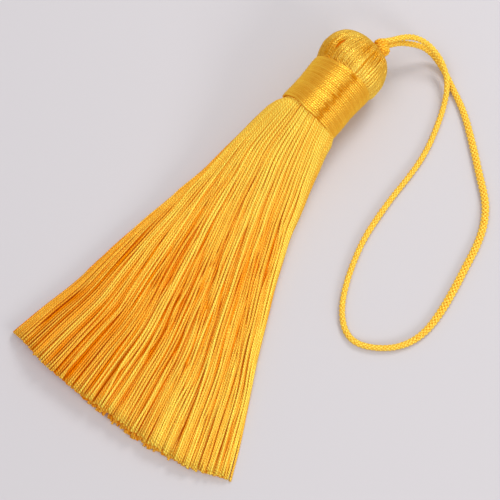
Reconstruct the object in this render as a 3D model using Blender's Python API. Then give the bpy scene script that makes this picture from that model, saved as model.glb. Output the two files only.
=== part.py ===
"""Silk tassel lying on its side, with a hanging loop of cord.

+Y runs up the tassel to its head, +Z is up and the tassel rests on Z = 0.
Sizes are in millimetres; MM turns them to metres where a point is made.
The neck of the tassel is turned a few degrees from the middle of its fringe,
so the head, binding and root of the fringe are placed by the neck's own axis.
"""

import bmesh
import bpy
import numpy as np
from mathutils import Matrix, Vector
from mathutils.geometry import delaunay_2d_cdt

MM = 0.001

# Neck axis: where the fringe leaves the binding, and its turn from +Y.
NECK_X = -0.58
NECK_Y = 26.93
NECK_Z = 7.15
NECK_TURN_DEG = -5.5
NECK_RISE_DEG = 2.0

# Binding: a wound ring in the waist between head and fringe.
BINDING_BORE = 6.0
GAP = 0.3

# Head and waist, turned about the neck axis from the root of the fringe.
WAIST_RADIUS = BINDING_BORE - GAP
HEAD_RIBS = 36
HEAD_SLANT_DEG = 26.0
RIB_HEIGHT = 0.14

# Fringe: three-sided strands drawn from the root, fanned and flattened.
STRANDS = 280
STRAND_SIDE = 0.50
ROOT_RADIUS = 6.6
ROOT_MARGIN = 0.40
ROOT_END = -0.9
FRINGE_LENGTH = 78.3
TIP_SKEW = 0.9
TIP_BOW = 4.0
UNDER_STRANDS_SHORTER = 3.0
UNEVEN_CUT = 0.5

# Cord and its knot.
CORD_DIAMETER = 1.35
CORD_POINTS = 66
KNOT_X = 4.27
KNOT_Y = 49.90
KNOT_Z = 8.70
KNOT_HALF_LENGTH = 1.85
KNOT_RADIUS = 1.35
KNOT_TURN_DEG = 33.0

GOLDEN = (1.0 + 5.0 ** 0.5) / 2.0

# Head: height up the neck axis, radius, sideways shift and slope of each ring.
HEAD_RINGS = (
    # height, radius, shift, slope
    (12.05, 7.10, 0.00, 0.00),
    (12.70, 7.62, 0.00, 0.00),
    (14.10, 8.00, 0.00, 0.00),
    (16.20, 8.15, 0.00, 0.00),
    (18.20, 8.02, -0.05, 0.00),
    (19.80, 7.45, -0.20, 0.00),
    (20.80, 6.55, -0.45, -0.03),
    (21.60, 5.45, -0.60, -0.08),
    (22.05, 4.30, -0.30, -0.14),
    (22.05, 3.40, 0.50, -0.22),
    (21.40, 2.60, 1.25, -0.25),
    (20.70, 1.70, 1.90, -0.20),
)
DIMPLE_HEIGHT = 20.20
DIMPLE_SHIFT = 2.30

# Binding: height up the neck axis and outer radius.
BINDING_RINGS = (
    # height, radius
    (0.15, 6.62),
    (0.50, 6.90),
    (2.60, 6.98),
    (5.90, 7.02),
    (9.20, 7.20),
    (11.20, 7.42),
    (11.75, 7.10),
)

# Fringe cross-sections down from the neck: its middle across, half width,
# half thickness, lift of its underside, and how flat that underside lies.
FRINGE_SECTIONS = (
    # down, middle, half_width, half_thick, lift, flatness
    (0.9, 0.00, 6.20, 6.20, 1.10, 0.00),
    (4.5, -1.45, 8.10, 5.50, 0.45, 0.25),
    (18.0, -2.35, 11.20, 3.95, 0.00, 0.90),
    (34.0, -2.05, 15.60, 2.75, 0.00, 1.00),
    (80.0, 0.60, 30.40, 1.45, 0.00, 1.00),
)

# Route of the cord from the knot round the loop and back to the knot.
CORD_ROUTE = (
    # x, y, z
    (5.20, 51.65, 9.32),
    (6.62, 53.28, 9.20),
    (8.84, 55.34, 8.40),
    (11.75, 56.48, 6.80),
    (15.19, 56.25, 4.80),
    (18.32, 54.73, 3.10),
    (20.53, 52.19, 2.10),
    (22.08, 48.78, 1.10),
    (23.55, 43.18, 0.70),
    (24.57, 35.61, 0.68),
    (24.10, 26.45, 0.68),
    (23.48, 16.24, 0.68),
    (24.52, 7.19, 0.68),
    (26.95, -1.56, 0.68),
    (29.36, -5.78, 0.68),
    (33.59, -8.51, 0.68),
    (38.64, -7.46, 0.68),
    (42.77, -4.34, 0.68),
    (45.19, -0.26, 0.68),
    (46.19, 6.61, 0.68),
    (46.00, 18.08, 0.68),
    (44.90, 27.62, 0.68),
    (42.37, 33.41, 0.68),
    (37.46, 38.83, 0.68),
    (31.68, 44.66, 0.68),
    (26.03, 49.97, 0.68),
    (21.56, 53.12, 0.68),
    (17.73, 55.60, 0.90),
    (14.50, 56.69, 2.20),
    (11.49, 56.30, 4.30),
    (9.13, 54.84, 6.00),
    (7.34, 53.14, 7.10),
    (6.48, 51.83, 7.50),
)


def clear_scene():
    """Remove every object and mesh already in the file."""
    for item in list(bpy.data.objects):
        bpy.data.objects.remove(item, do_unlink=True)
    for item in list(bpy.data.meshes):
        bpy.data.meshes.remove(item)


def silk(name, colour, roughness):
    """A plain silk material."""
    made = bpy.data.materials.new(name)
    made.use_nodes = True
    shader = made.node_tree.nodes["Principled BSDF"]
    shader.inputs["Base Color"].default_value = (*colour, 1.0)
    shader.inputs["Roughness"].default_value = roughness
    shader.inputs["Metallic"].default_value = 0.0
    return made


def add_mesh_object(name, shape, finish, sharp_deg=None):
    """Link a bmesh as a named object with its material."""
    bmesh.ops.recalc_face_normals(shape, faces=shape.faces)
    data = bpy.data.meshes.new(name)
    shape.to_mesh(data)
    shape.free()
    data.materials.append(finish)
    if sharp_deg is not None:
        data.shade_smooth()
        data.set_sharp_from_angle(angle=np.radians(sharp_deg))
    made = bpy.data.objects.new(name, data)
    bpy.context.scene.collection.objects.link(made)
    return made


def neck_matrix():
    """Placement of the neck axis: its Y runs up to the head."""
    place = Matrix.Translation((NECK_X, NECK_Y, NECK_Z))
    turn = Matrix.Rotation(np.radians(NECK_TURN_DEG), 4, "Z")
    return place @ turn @ Matrix.Rotation(np.radians(NECK_RISE_DEG), 4, "X")


def ring_points(row, turn, segments, rib=0.0):
    """Points of one ring about the neck axis, in the neck's own frame."""
    height, radius, shift, slope = row
    points = []
    for index in range(segments):
        angle = 2.0 * np.pi * index / segments + turn
        reach = radius + (rib if index % 2 else -rib)
        across = reach * np.sin(angle)
        level = height + slope * across
        points.append(Vector((shift + across, level, reach * np.cos(angle))))
    return points


def bridge(shape, lower, upper):
    """Join two rings of as many points with quads."""
    count = len(lower)
    for index in range(count):
        after = (index + 1) % count
        shape.faces.new((lower[index], lower[after], upper[after], upper[index]))


def section_at(down):
    """Fringe section between the table's rows, at a distance down."""
    table = np.array(FRINGE_SECTIONS)
    return [float(np.interp(down, table[:, 0], table[:, col])) for col in range(1, 6)]


def strand_seeds():
    """Even points in the unit disc that stay apart when it is flattened.

    The lattice of the golden ratio keeps its least spacing under any squeeze
    along its two axes, so the strands part without ever crossing.
    """
    cell = (np.pi / (STRANDS * 5.0 ** 0.5)) ** 0.5
    reach = int(2.0 / cell)
    seeds = []
    for a in range(-reach, reach + 1):
        for b in range(-reach, reach + 1):
            across = cell * (a + b * GOLDEN + 0.31)
            upward = cell * (a + b * (1.0 - GOLDEN) + 0.17)
            if across ** 2 + upward ** 2 < 1.0:
                seeds.append((across, upward))
    return seeds


def strand_centre(seed, down):
    """Middle of a strand's underside at a distance down from the neck."""
    across, upward = seed
    middle, half_width, half_thick, lift, flatness = section_at(down)
    edge = (1.0 - across ** 2) ** 0.5
    bottom = 1.0 + flatness * (edge - 1.0)
    height = lift + half_thick * (upward + bottom)
    if flatness > 0.5 and height < 0.30:
        height = 0.0
    return Vector((NECK_X + middle + half_width * across, NECK_Y - down, height))


def strand_tip(seed):
    """Distance down at which a strand ends, along the bowed tip line."""
    across, upward = seed
    under = max(0.0, -upward) * UNDER_STRANDS_SHORTER
    cut = UNEVEN_CUT * np.sin(37.0 * across + 61.0 * upward)
    return FRINGE_LENGTH + TIP_SKEW * across - TIP_BOW * across ** 2 - under + cut


def triangle_at(centre):
    """Upright three-sided section resting on its base."""
    half = 0.5 * STRAND_SIDE
    return [
        centre + Vector((-half, 0.0, 0.0)),
        centre + Vector((half, 0.0, 0.0)),
        centre + Vector((0.0, 0.0, half * 3.0 ** 0.5)),
    ]


def root_triangles(seeds):
    """Strand sections where they are fused in the root face, neck frame."""
    reach = ROOT_RADIUS - ROOT_MARGIN
    rows = []
    for across, upward in seeds:
        centre = Vector((reach * across, ROOT_END, reach * upward - 0.14))
        rows.append(triangle_at(centre))
    return rows


def fused_root(shape, rim, rows):
    """Face of the root between its rim and the strands that leave it."""
    flat = [Vector((point.co.x, point.co.z)) for point in rim]
    loops = [list(range(len(rim)))]
    corners = list(rim)
    for row in rows:
        start = len(corners)
        corners.extend(shape.verts.new(point) for point in row)
        flat.extend(Vector((point.x, point.z)) for point in row)
        loops.append([start, start + 1, start + 2])
    cut = delaunay_2d_cdt(flat, [], loops, 1, 1e-7, True)
    faces, sources, owners = cut[2], cut[3], cut[5]
    for face, owner in zip(faces, owners):
        if not any(owner):
            shape.faces.new([corners[sources[point][0]] for point in face])
    return [corners[loop[0]:loop[0] + 3] for loop in loops[1:]]


def build_head_and_skirt(finish):
    """Head, waist and root of the hank in one, with the fringe's strands."""
    shape = bmesh.new()
    segments = 2 * HEAD_RIBS
    top = BINDING_RINGS[-1][0] + GAP
    rows = [
        (ROOT_END, ROOT_RADIUS - 0.1, 0.0, 0.0),
        (BINDING_RINGS[0][0] - GAP, ROOT_RADIUS, 0.0, 0.0),
        (BINDING_RINGS[0][0] - GAP, WAIST_RADIUS, 0.0, 0.0),
        (top, WAIST_RADIUS, 0.0, 0.0),
    ]
    plain = len(rows)
    rows.extend(HEAD_RINGS)
    rings = []
    for index, row in enumerate(rows):
        fade = min(1.0, max(0, index - plain) / 2.0) * min(1.0, row[1] / 4.0)
        slant = np.radians(HEAD_SLANT_DEG) * max(0.0, row[0] - top) / 10.0
        points = ring_points(row, slant, segments, RIB_HEIGHT * fade)
        rings.append([shape.verts.new(point) for point in points])
    for lower, upper in zip(rings, rings[1:]):
        bridge(shape, lower, upper)
    pole = shape.verts.new((DIMPLE_SHIFT, DIMPLE_HEIGHT, 0.0))
    for index in range(segments):
        shape.faces.new((rings[-1][index], rings[-1][(index + 1) % segments], pole))
    seeds = strand_seeds()
    roots = fused_root(shape, rings[0], root_triangles(seeds))
    for point in shape.verts:
        point.co = neck_matrix() @ point.co
        point.co.z = max(0.0, point.co.z)
    stations = [row[0] for row in FRINGE_SECTIONS[1:-1]]
    for seed, root in zip(seeds, roots):
        last = root
        for down in stations + [strand_tip(seed)]:
            corners = triangle_at(strand_centre(seed, down))
            section = [shape.verts.new(point) for point in corners]
            bridge(shape, last, section)
            last = section
        shape.faces.new(last)
    for point in shape.verts:
        point.co *= MM
    return add_mesh_object("head_and_skirt", shape, finish, 40.0)


def build_binding(finish):
    """Ring wound round the waist, a little wider towards the head."""
    shape = bmesh.new()
    segments = 72
    rows = [(BINDING_RINGS[0][0], BINDING_BORE)]
    rows.extend(BINDING_RINGS)
    rows.append((BINDING_RINGS[-1][0], BINDING_BORE))
    rings = []
    for height, radius in rows:
        points = ring_points((height, radius, 0.0, 0.0), 0.0, segments)
        rings.append([shape.verts.new(neck_matrix() @ point * MM) for point in points])
    for lower, upper in zip(rings, rings[1:] + rings[:1]):
        bridge(shape, lower, upper)
    return add_mesh_object("neck_binding", shape, finish, 40.0)


def build_knot(finish):
    """Small knot of the doubled cord: a lump of three slanting wraps."""
    shape = bmesh.new()
    around = 24
    steps = 20
    poles = (shape.verts.new((0.0, -KNOT_HALF_LENGTH, 0.0)),
             shape.verts.new((0.0, KNOT_HALF_LENGTH, 0.0)))
    rings = []
    for step in range(1, steps):
        polar = np.pi * step / steps
        ring = []
        for index in range(around):
            angle = 2.0 * np.pi * index / around
            wrap = 0.11 * np.cos(6.0 * polar + angle) * np.sin(polar)
            reach = KNOT_RADIUS * np.sin(polar) ** 0.8 + wrap
            along = -KNOT_HALF_LENGTH * np.cos(polar)
            ring.append(shape.verts.new((reach * np.cos(angle), along, reach * np.sin(angle))))
        rings.append(ring)
    for lower, upper in zip(rings, rings[1:]):
        bridge(shape, lower, upper)
    for index in range(around):
        after = (index + 1) % around
        shape.faces.new((poles[0], rings[0][after], rings[0][index]))
        shape.faces.new((poles[1], rings[-1][index], rings[-1][after]))
    place = Matrix.Translation((KNOT_X, KNOT_Y, KNOT_Z))
    place = place @ Matrix.Rotation(np.radians(KNOT_TURN_DEG), 4, "Z")
    for point in shape.verts:
        point.co = (place @ point.co) * MM
    return add_mesh_object("cord_knot", shape, finish, 60.0)


def smooth_route(rows, count):
    """Even points along a natural cubic curve through the route's rows."""
    rows = np.array(rows)
    steps = np.linalg.norm(np.diff(rows, axis=0), axis=1)
    places = np.concatenate(([0.0], np.cumsum(steps)))
    size = len(rows)
    system = np.eye(size)
    target = np.zeros((size, 3))
    for index in range(1, size - 1):
        before, after = steps[index - 1], steps[index]
        system[index, index - 1:index + 2] = (before, 2.0 * (before + after), after)
        rise = (rows[index + 1] - rows[index]) / after
        target[index] = 6.0 * (rise - (rows[index] - rows[index - 1]) / before)
    bend = np.linalg.solve(system, target)
    fine = []
    for place in np.linspace(0.0, places[-1], 1200):
        index = min(max(int(np.searchsorted(places, place)) - 1, 0), size - 2)
        left = (places[index + 1] - place) / steps[index]
        right = 1.0 - left
        curl = (left ** 3 - left) * bend[index] + (right ** 3 - right) * bend[index + 1]
        line = left * rows[index] + right * rows[index + 1]
        fine.append(line + curl * steps[index] ** 2 / 6.0)
    fine = np.array(fine)
    lengths = np.linalg.norm(np.diff(fine, axis=0), axis=1)
    lengths = np.concatenate(([0.0], np.cumsum(lengths)))
    wanted = np.linspace(0.0, lengths[-1], count)
    return np.stack([np.interp(wanted, lengths, fine[:, axis]) for axis in range(3)], axis=1)


def build_cord(finish):
    """Braided cord laid in a loop, leaving the knot and coming back to it."""
    points = smooth_route(CORD_ROUTE, CORD_POINTS)
    curve = bpy.data.curves.new("hanging_cord", "CURVE")
    curve.dimensions = "3D"
    curve.bevel_depth = 0.5 * CORD_DIAMETER * MM
    curve.bevel_resolution = 2
    curve.use_fill_caps = True
    line = curve.splines.new("POLY")
    line.points.add(len(points) - 1)
    for index, point in enumerate(points):
        line.points[index].co = (*(point * MM), 1.0)
    curve.materials.append(finish)
    made = bpy.data.objects.new("hanging_cord", curve)
    bpy.context.scene.collection.objects.link(made)
    return made


def main():
    """Build the four parts of the tassel."""
    clear_scene()
    hank_silk = silk("hank_silk", (0.80, 0.40, 0.045), 0.42)
    wound_silk = silk("wound_silk", (0.86, 0.45, 0.050), 0.36)
    braided_silk = silk("braided_silk", (0.78, 0.42, 0.060), 0.48)
    build_head_and_skirt(hank_silk)
    build_binding(wound_silk)
    build_knot(braided_silk)
    build_cord(braided_silk)


main()
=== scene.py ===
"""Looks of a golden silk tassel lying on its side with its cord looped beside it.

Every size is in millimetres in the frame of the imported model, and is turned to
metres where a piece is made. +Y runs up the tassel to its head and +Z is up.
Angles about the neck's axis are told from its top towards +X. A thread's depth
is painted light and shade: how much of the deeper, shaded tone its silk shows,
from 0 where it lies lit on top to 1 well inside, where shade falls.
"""

import logging
import math
from collections.abc import Callable
from dataclasses import dataclass, field
from enum import Enum

import bmesh
import bpy
import numpy as np
from mathutils import Matrix, Vector


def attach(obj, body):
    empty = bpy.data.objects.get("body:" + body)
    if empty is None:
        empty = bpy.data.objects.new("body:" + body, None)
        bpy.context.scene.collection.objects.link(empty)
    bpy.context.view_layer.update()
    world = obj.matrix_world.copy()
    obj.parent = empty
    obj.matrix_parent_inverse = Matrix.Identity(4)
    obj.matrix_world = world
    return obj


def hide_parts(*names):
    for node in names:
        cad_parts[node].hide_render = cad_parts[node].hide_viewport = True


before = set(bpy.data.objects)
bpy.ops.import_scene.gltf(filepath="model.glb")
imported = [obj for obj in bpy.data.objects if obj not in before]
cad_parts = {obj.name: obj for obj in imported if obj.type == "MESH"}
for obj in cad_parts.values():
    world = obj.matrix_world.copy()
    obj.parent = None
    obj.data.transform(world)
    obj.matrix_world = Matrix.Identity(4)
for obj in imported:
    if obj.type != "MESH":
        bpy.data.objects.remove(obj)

LOG = logging.getLogger("tassel")
MM = 0.001
BODY = "root"
TURN = 2.0 * math.pi
GOLDEN = (1.0 + math.sqrt(5.0)) / 2.0
TINY = 1e-6
FINE_POINTS = 1200

Array = np.ndarray
Colour = tuple[float, float, float]
Row = tuple[float, ...]
Stops = tuple[float, float, float, float]


class Slot(Enum):
    """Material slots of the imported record."""

    HANK = "hank_silk"
    WOUND = "wound_silk"
    BRAID = "braided_silk"


class Node(Enum):
    """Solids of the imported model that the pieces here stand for."""

    HANK = "head_and_skirt"
    BINDING = "neck_binding"
    KNOT = "cord_knot"
    CORD = "hanging_cord"


# Lines, tables and smooth changes


def step_lengths(points: Array) -> Array:
    """Distance from each point of a line to the next."""
    return np.linalg.norm(np.diff(points, axis=0), axis=1)


def places_along(points: Array) -> Array:
    """How far along a line each of its points lies."""
    return np.concatenate(([0.0], np.cumsum(step_lengths(points))))


def respace(points: Array, count: int) -> Array:
    """Spread points evenly along the line that they make.

    Args:
        points: Points of the line, one row each.
        count: How many points to read.

    Returns:
        The evenly spaced points.
    """
    lengths = places_along(points)
    wanted = np.linspace(0.0, lengths[-1], count)
    return np.stack([np.interp(wanted, lengths, column) for column in points.T], axis=1)


def natural_cubic(rows: Array, count: int) -> Array:
    """Read even points off a natural cubic curve through a route's rows.

    Args:
        rows: Points of the route, one row each.
        count: How many points to read.

    Returns:
        The points, evenly spaced along the curve.
    """
    steps, places, size = step_lengths(rows), places_along(rows), len(rows)
    system, target = np.eye(size), np.zeros((size, rows.shape[1]))
    for index in range(1, size - 1):
        before, after = steps[index - 1], steps[index]
        system[index, index - 1:index + 2] = (before, 2.0 * (before + after), after)
        rise = (rows[index + 1] - rows[index]) / after
        target[index] = 6.0 * (rise - (rows[index] - rows[index - 1]) / before)
    bend = np.linalg.solve(system, target)
    where = np.linspace(0.0, places[-1], max(FINE_POINTS, 4 * count))
    index = np.clip(np.searchsorted(places, where) - 1, 0, size - 2)
    left = ((places[index + 1] - where) / steps[index])[:, None]
    right = 1.0 - left
    curl = (left ** 3 - left) * bend[index] + (right ** 3 - right) * bend[index + 1]
    fine = left * rows[index] + right * rows[index + 1]
    return respace(fine + curl * (steps[index] ** 2 / 6.0)[:, None], count)


def soft_rows(table: Array | tuple[Row, ...], where: Array) -> Array:
    """Read a table smoothly, with no overshoot between its rows.

    Args:
        table: Rows whose first column rises.
        where: Values of the first column to read at.

    Returns:
        The other columns at those values.
    """
    table = np.asarray(table)
    x, y = table[:, 0], table[:, 1:]
    step = np.diff(x)[:, None]
    slope = np.diff(y, axis=0) / step
    tangent = np.zeros_like(y)
    tangent[0], tangent[-1] = slope[0], slope[-1]
    same = slope[:-1] * slope[1:] > 0.0
    mean = 2.0 * slope[:-1] * slope[1:] / np.where(same, slope[:-1] + slope[1:], 1.0)
    tangent[1:-1] = np.where(same, mean, 0.0)
    where = np.clip(where, x[0], x[-1])
    index = np.clip(np.searchsorted(x, where) - 1, 0, len(x) - 2)
    gap = (x[index + 1] - x[index])[:, None]
    t = ((where - x[index])[:, None]) / gap
    square, cube = t ** 2, t ** 3
    start = (2.0 * cube - 3.0 * square + 1.0) * y[index]
    end = (3.0 * square - 2.0 * cube) * y[index + 1]
    leave = (cube - 2.0 * square + t) * gap * tangent[index]
    arrive = (cube - square) * gap * tangent[index + 1]
    return start + end + leave + arrive


def smooth_step(low: float, high: float, value: Array | float) -> Array:
    """Rise smoothly from 0 at low to 1 at high."""
    t = np.clip((value - low) / (high - low), 0.0, 1.0)
    return t * t * (3.0 - 2.0 * t)


def rise_and_fall(stops: Stops, value: Array | float) -> Array:
    """Rise from 0 to 1 between the first two stops and fall back between the others."""
    return smooth_step(*stops[:2], value) * (1.0 - smooth_step(*stops[2:], value))


def bump(centre: float, half: float, value: Array | float) -> Array:
    """A round hill, 1 high at its centre and about a third at its half width."""
    return np.exp(-((value - centre) / half) ** 2)


def wrapped(angle: Array) -> Array:
    """The same angles within half a turn either way."""
    return np.angle(np.exp(1j * angle))


def wander(rng: np.random.Generator, places: Array, waves: int, power: float) -> Array:
    """A smooth aimless line about zero.

    Args:
        rng: Seeded source of chance.
        places: Places along the line, from 0 to 1.
        waves: How many half waves at most.
        power: How fast the finer waves fade.

    Returns:
        The line's height at each place.
    """
    total = np.zeros_like(places)
    for order in range(1, waves + 1):
        height = rng.normal() / order ** power
        total += height * np.sin(math.pi * order * places + rng.uniform(0.0, TURN))
    return total


def moving_frames(points: Array) -> tuple[Array, Array]:
    """Carry a pair of crosswise directions along a line without twist.

    Args:
        points: Points of the line.

    Returns:
        Two arrays of unit vectors, each square to the line and to the other.
    """
    ahead = np.gradient(points, axis=0)
    ahead /= np.linalg.norm(ahead, axis=1)[:, None]
    side = np.cross(ahead[0], (0.0, 0.0, 1.0))
    sides = []
    for direction in ahead:
        side = side - direction * float(side @ direction)
        side = side / np.linalg.norm(side)
        sides.append(side)
    sides = np.array(sides)
    return sides, np.cross(sides, ahead)


# Threads and round bodies made into meshes


@dataclass
class Thread:
    """One thread: its centreline in millimetres and what its finish reads."""

    points: Array
    radius: Array
    tint: float
    depth: Array


@dataclass
class Bundle:
    """Threads of one piece, all with as many points, swept into one mesh."""

    name: str
    slot: Slot
    bevel_resolution: int = 1
    threads: list[Thread] = field(default_factory=list)

    def add(self, points: Array, radius: Array | float, tint: float, depth: Array | float) -> None:
        """Lay one thread.

        Args:
            points: Its centreline, in millimetres.
            radius: Its radius along the line, in millimetres.
            tint: Its own shade, from 0 to 1.
            depth: How much of the deeper tone, painted shade, it shows, from 0 to 1.
        """
        radius = np.broadcast_to(np.asarray(radius, float), len(points))
        depth = np.broadcast_to(np.asarray(depth, float), len(points))
        self.threads.append(Thread(points, radius, tint, depth))

    def curve(self) -> bpy.types.Object:
        """Draw every thread as a round bevelled line.

        Returns:
            The curve object that holds them all.
        """
        data = bpy.data.curves.new(self.name + "_line", "CURVE")
        data.dimensions = "3D"
        data.bevel_depth = MM
        data.bevel_resolution = self.bevel_resolution
        data.use_fill_caps = True
        for thread in self.threads:
            line = data.splines.new("POLY")
            line.points.add(len(thread.points) - 1)
            co = np.ones((len(thread.points), 4))
            co[:, :3] = thread.points * MM
            line.points.foreach_set("co", co.ravel())
            line.points.foreach_set("radius", thread.radius)
            line.use_smooth = True
        made = bpy.data.objects.new(self.name + "_line", data)
        bpy.context.scene.collection.objects.link(made)
        return made

    def mesh(self, finish: bpy.types.Material) -> bpy.types.Object:
        """Turn the drawn threads into one mesh with its tint, depth and run.

        Args:
            finish: The piece's finish.

        Returns:
            The piece, at the origin, its faces closed and pointing out.
        """
        line = self.curve()
        graph = bpy.context.evaluated_depsgraph_get()
        data = bpy.data.meshes.new_from_object(line.evaluated_get(graph), depsgraph=graph)
        data.name = self.name
        curve = line.data
        bpy.data.objects.remove(line, do_unlink=True)
        bpy.data.curves.remove(curve)
        self._write_attributes(data)
        shape = bmesh.new()
        shape.from_mesh(data)
        bmesh.ops.remove_doubles(shape, verts=shape.verts, dist=1e-7)
        for face in shape.faces:
            face.smooth = len(face.verts) == 4
        bmesh.ops.recalc_face_normals(shape, faces=shape.faces)
        shape.to_mesh(data)
        shape.free()
        return place(self.name, data, finish)

    def _write_attributes(self, data: bpy.types.Mesh) -> None:
        """Write tint, depth and run where the curve's points came from.

        Blender writes the end caps first, from the last thread to the first,
        and then the tubes, from the first to the last.

        Args:
            data: The mesh just made from the curve.
        """
        count, points = len(self.threads), len(self.threads[0].points)
        sides = 4 + 2 * self.bevel_resolution
        tint = np.array([thread.tint for thread in self.threads])
        depth = np.array([thread.depth for thread in self.threads])
        run = np.array([places_along(thread.points) for thread in self.threads])
        caps = np.arange(count)[::-1].repeat(2 * sides)
        at_end = np.tile(np.repeat((points - 1, 0), sides), count)
        tube = np.arange(count).repeat(points * sides)
        along = np.tile(np.arange(points).repeat(sides), count)
        which = np.concatenate((caps, tube))
        where = np.concatenate((at_end, along))
        for name, values in (("tint", tint[which]), ("depth", depth[which, where])):
            layer = data.attributes.new(name, "FLOAT", "POINT")
            layer.data.foreach_set("value", values.astype(np.float32))
        corners = np.empty(len(data.loops), np.int32)
        data.loops.foreach_get("vertex_index", corners)
        uv = data.uv_layers[0]
        spots = np.empty(2 * len(corners), np.float32)
        uv.data.foreach_get("uv", spots)
        spots = spots.reshape(-1, 2)
        spots[:, 0] = run[which[corners], where[corners]]
        spots[:, 1] += which[corners]
        uv.data.foreach_set("uv", spots.ravel())


@dataclass
class SpunBody:
    """A plain round body under the threads, spun about the neck's axis.

    Its low is how near it comes to the floor. Its profile is a ring where it is
    closed, and otherwise a line from one end of the axis to the other. Its depth
    paints it with a deeper tone, painted shade, as it shows only between threads.
    """

    name: str
    slot: Slot
    depth: float
    low: float
    closed: bool
    steps: int = 96

    def build(
        self, rows: list[Row], pressed: Callable[[Vector], Vector], finish: bpy.types.Material
    ) -> bpy.types.Object:
        """Spin a profile and press it to its place.

        Args:
            rows: Heights and radii of the profile in the neck's frame.
            pressed: Gives a spun point its place in the model, in millimetres.
            finish: The body's finish.

        Returns:
            The body.
        """
        shape = bmesh.new()
        verts = [shape.verts.new((0.0, height, radius)) for height, radius in rows]
        ring = verts + verts[:1] if self.closed else verts
        edges = [shape.edges.new(pair) for pair in zip(ring, ring[1:])]
        bmesh.ops.spin(
            shape, geom=verts + edges, cent=(0.0, 0.0, 0.0), axis=(0.0, 1.0, 0.0),
            angle=TURN, steps=self.steps, use_merge=True,
        )
        bmesh.ops.remove_doubles(shape, verts=shape.verts, dist=1e-4)
        for name in ("tint", "depth"):
            shape.verts.layers.float.new(name)
        deep = shape.verts.layers.float["depth"]
        for point in shape.verts:
            point.co = pressed(point.co) * MM
            point.co.z = max(point.co.z, self.low * MM)
            point[deep] = self.depth
        bmesh.ops.recalc_face_normals(shape, faces=shape.faces)
        for face in shape.faces:
            face.smooth = True
        shape.loops.layers.uv.new("UVMap")
        data = bpy.data.meshes.new(self.name)
        shape.to_mesh(data)
        shape.free()
        return place(self.name, data, finish)


def place(
    name: str, data: bpy.types.Mesh, finish: bpy.types.Material
) -> bpy.types.Object:
    """Put a finished mesh on the tassel.

    Args:
        name: The piece's name.
        data: Its mesh, in metres.
        finish: Its finish.

    Returns:
        The piece, which rides on the tassel.
    """
    piece = bpy.data.objects.new(name, data)
    bpy.context.scene.collection.objects.link(piece)
    data.materials.clear()
    data.materials.append(finish)
    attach(piece, BODY)
    return piece


# Finishes


def set_inputs(node: bpy.types.Node, values: dict[str, float | Row]) -> None:
    """Set a node's own sockets to constants, by their names."""
    for name, value in values.items():
        node.inputs[name].default_value = value


class Wiring:
    """Short ways to add and join the nodes of one shader group."""

    def __init__(self, name: str, given: dict[str, str], made: dict[str, str]) -> None:
        """Start a group with named sockets.

        Args:
            name: The group's name.
            given: Its inputs, each Float or Color.
            made: Its outputs, each Float or Color.
        """
        self.tree = bpy.data.node_groups.new(name, "ShaderNodeTree")
        for side, sockets in (("INPUT", given), ("OUTPUT", made)):
            for title, kind in sockets.items():
                self.tree.interface.new_socket(title, in_out=side, socket_type="NodeSocket" + kind)
        self.given = self.tree.nodes.new("NodeGroupInput").outputs
        self.made = self.tree.nodes.new("NodeGroupOutput").inputs

    def join(self, value: bpy.types.NodeSocket | float, into: bpy.types.NodeSocket) -> None:
        """Feed an input from another node, or set it to a number.

        Args:
            value: Socket or number.
            into: The input that gets it.
        """
        if isinstance(value, bpy.types.NodeSocket):
            self.tree.links.new(value, into)
        else:
            into.default_value = value

    def calc(
        self, operation: str, *values: bpy.types.NodeSocket | float, clamp: bool = False
    ) -> bpy.types.NodeSocket:
        """Add a math node.

        Args:
            operation: Its operation.
            values: Its sockets or numbers, in order.
            clamp: Whether its result is kept from 0 to 1.

        Returns:
            Its output.
        """
        node = self.tree.nodes.new("ShaderNodeMath")
        node.operation = operation
        node.use_clamp = clamp
        for value, into in zip(values, node.inputs):
            self.join(value, into)
        return node.outputs[0]

    def attribute(self, name: str) -> bpy.types.NodeSocket:
        """Read one of the piece's own attributes as a number.

        Args:
            name: The attribute's name.

        Returns:
            Its value.
        """
        node = self.tree.nodes.new("ShaderNodeAttribute")
        node.attribute_name = name
        return node.outputs["Fac"]

    def thread_map(self) -> tuple[bpy.types.NodeSocket, bpy.types.NodeSocket]:
        """Read how far along its thread and how far round it a place is.

        Returns:
            The run in millimetres, and the turns round the thread with the
            thread's own number added.
        """
        uv = self.tree.nodes.new("ShaderNodeUVMap")
        uv.uv_map = "UVMap"
        split = self.tree.nodes.new("ShaderNodeSeparateXYZ")
        self.join(uv.outputs["UV"], split.inputs[0])
        return split.outputs["X"], split.outputs["Y"]

    def noise(
        self, x: bpy.types.NodeSocket, y: bpy.types.NodeSocket, detail: float
    ) -> bpy.types.NodeSocket:
        """Read a soft noise.

        Args:
            x: First place in it.
            y: Second place in it.
            detail: How much finer noise it has.

        Returns:
            Its value, about 0.5 on the whole.
        """
        spot = self.tree.nodes.new("ShaderNodeCombineXYZ")
        self.join(x, spot.inputs[0])
        self.join(y, spot.inputs[1])
        node = self.tree.nodes.new("ShaderNodeTexNoise")
        set_inputs(node, {"Scale": 1.0, "Detail": detail})
        self.join(spot.outputs[0], node.inputs["Vector"])
        return node.outputs["Fac"]

    def mix(
        self, mode: str, factor: bpy.types.NodeSocket, first: bpy.types.NodeSocket,
        second: bpy.types.NodeSocket,
    ) -> bpy.types.NodeSocket:
        """Add a node that mixes two colours.

        Args:
            mode: Its blend type.
            factor: How much of the second colour.
            first: The first colour.
            second: The second colour.

        Returns:
            The mixed colour.
        """
        node = self.tree.nodes.new("ShaderNodeMix")
        node.data_type = "RGBA"
        node.blend_type = mode
        for title, value in (("Factor", factor), ("A", first), ("B", second)):
            self.join(value, node.inputs[title])
        return node.outputs["Result"]


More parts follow.
